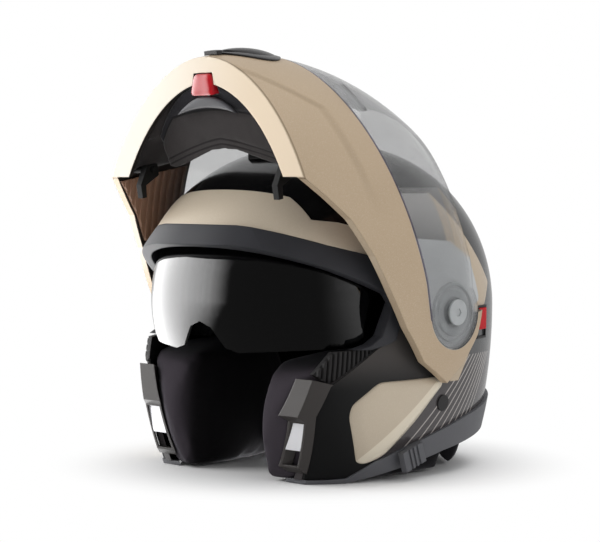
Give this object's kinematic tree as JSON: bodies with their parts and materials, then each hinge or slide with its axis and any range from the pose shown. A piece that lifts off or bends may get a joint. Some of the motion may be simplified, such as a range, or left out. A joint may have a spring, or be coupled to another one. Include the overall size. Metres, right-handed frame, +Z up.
{
  "type": "modular motorcycle helmet",
  "caption": "Flip-up motorcycle helmet with raised chin bar, clear face shield, drop-down tinted sun visor and padded lining.",
  "frame": {"origin": "on the ground under the middle of the helmet's width and length, with the chin bar raised", "axes": "+Z up, -Y the way the wearer looks, +X the wearer's left; the chin bar's pivot axis runs along X"},
  "size_m": [0.2748, 0.2689, 0.3162],
  "materials": {
    "gloss_black": "gloss moulded",
    "shell_black": "matt painted",
    "sand_paint": "satin metallic paint",
    "dark_plastic": "moulded, matt",
    "soft_rubber": "moulded rubber",
    "foam": "pressed foam",
    "cloth": "brushed cloth",
    "webbing": "woven webbing",
    "polished": "polished",
    "screw_steel": "brushed",
    "grey_plastic": "moulded",
    "red_plastic": "gloss",
    "smoke_glass": "tinted and clear coated",
    "clear_glass": "clear"
  },
  "bodies": {
    "helmet": {"outer_shell": "shell_black", "forehead_band": "sand_paint", "eye_port_gasket": "soft_rubber", "base_trim": "dark_plastic", "eps_liner": "foam", "eps_side_ring": "foam", "crown_pad": "cloth", "neck_roll": "cloth", "visor_pins": "screw_steel", "pivot_hubs": "dark_plastic", "pivot_screws": "screw_steel", "lock_surround": "dark_plastic", "intercom_plug": "dark_plastic", "top_vent": "gloss_black", "rear_vent": "gloss_black", "chin_strap_left": "webbing", "chin_strap_right": "webbing", "strap_anchors": "screw_steel", "buckle_body": "dark_plastic", "cheek_cover_left": "dark_plastic", "cheek_cover_right": "dark_plastic", "side_panel_left": "sand_paint", "side_panel_right": "sand_paint", "latch_guide_left": "dark_plastic", "latch_guide_right": "dark_plastic", "striker_plate_left": "polished", "striker_plate_right": "polished", "cheek_grille_left": "dark_plastic", "cheek_grille_right": "dark_plastic", "cheek_pad_left": "cloth", "cheek_pad_right": "cloth", "pivot_plate_left": "dark_plastic", "pivot_plate_right": "dark_plastic"},
    "chin_bar": {"chin_bar_shell": "sand_paint", "chin_vent": "gloss_black", "chin_liner": "cloth", "chin_curtain": "cloth", "hook_pins": "screw_steel", "arm_cover_left": "dark_plastic", "arm_cover_right": "dark_plastic", "shield_ratchet_left": "grey_plastic", "shield_ratchet_right": "grey_plastic"},
    "face_shield": {"face_shield": "clear_glass", "shield_tab": "clear_glass"},
    "sun_visor": {"sun_visor": "smoke_glass"},
    "visor_lever": {"visor_lever": "dark_plastic"},
    "release_button": {"release_button": "red_plastic"},
    "latch_hook_left": {"latch_hook_left": "screw_steel"},
    "latch_hook_right": {"latch_hook_right": "screw_steel"},
    "chin_vent_slider": {"chin_vent_slider": "gloss_black"},
    "top_vent_slider": {"top_vent_slider": "gloss_black"},
    "lock_slider": {"lock_slider": "red_plastic"},
    "buckle_lever": {"buckle_lever": "red_plastic"}
  },
  "joints": [
    {"name": "chin_bar_hinge", "type": "hinge", "parent": "helmet", "child": "chin_bar", "pos_m": [0, 0.006, 0.122], "axis": [1, 0, 0], "range_deg": [0, 80]},
    {"name": "face_shield_hinge", "type": "hinge", "parent": "chin_bar", "child": "face_shield", "pos_m": [0, 0.006, 0.122], "axis": [-1, 0, 0], "range_deg": [0, 35]},
    {"name": "sun_visor_hinge", "type": "hinge", "parent": "helmet", "child": "sun_visor", "pos_m": [0, -0.019, 0.127], "axis": [-1, 0, 0], "range_deg": [0, 45]},
    {"name": "visor_lever_slide", "type": "slide", "parent": "helmet", "child": "visor_lever", "axis": [0.1412, 0.9428, 0.3019], "range_m": [0, 0.018]},
    {"name": "release_button_slide", "type": "slide", "parent": "chin_bar", "child": "release_button", "axis": [0, 0.9848, 0.1736], "range_m": [0, 0.004], "stiffness_N_per_m": 600, "springref_m": -0.004},
    {"name": "latch_hook_left_hinge", "type": "hinge", "parent": "chin_bar", "child": "latch_hook_left", "pos_m": [0, -0.10677, 0.226], "axis": [-1, 0, 0], "range_deg": [0, 10]},
    {"name": "latch_hook_right_hinge", "type": "hinge", "parent": "chin_bar", "child": "latch_hook_right", "pos_m": [0, -0.10677, 0.226], "axis": [-1, 0, 0], "range_deg": [0, 10]},
    {"name": "chin_vent_slide", "type": "slide", "parent": "chin_bar", "child": "chin_vent_slider", "axis": [0, -0.9848, -0.1736], "range_m": [0, 0.005]},
    {"name": "top_vent_slide", "type": "slide", "parent": "helmet", "child": "top_vent_slider", "axis": [0, 0.9894, 0.1451], "range_m": [0, 0.006]},
    {"name": "lock_slide", "type": "slide", "parent": "helmet", "child": "lock_slider", "axis": [-0.0347, 0, -0.9994], "range_m": [0, 0.005]},
    {"name": "buckle_lever_hinge", "type": "hinge", "parent": "helmet", "child": "buckle_lever", "pos_m": [0.016, -0.006, 0.0171], "axis": [0, 1, 0], "range_deg": [0, 40]}
  ],
  "couplings": [
    {"joint": "visor_lever_slide", "follows": "sun_visor_hinge", "m_per_rad": 0.022918},
    {"joint": "latch_hook_left_hinge", "follows": "release_button_slide", "rad_per_m": 43.63},
    {"joint": "latch_hook_right_hinge", "follows": "release_button_slide", "rad_per_m": 43.63}
  ]
}
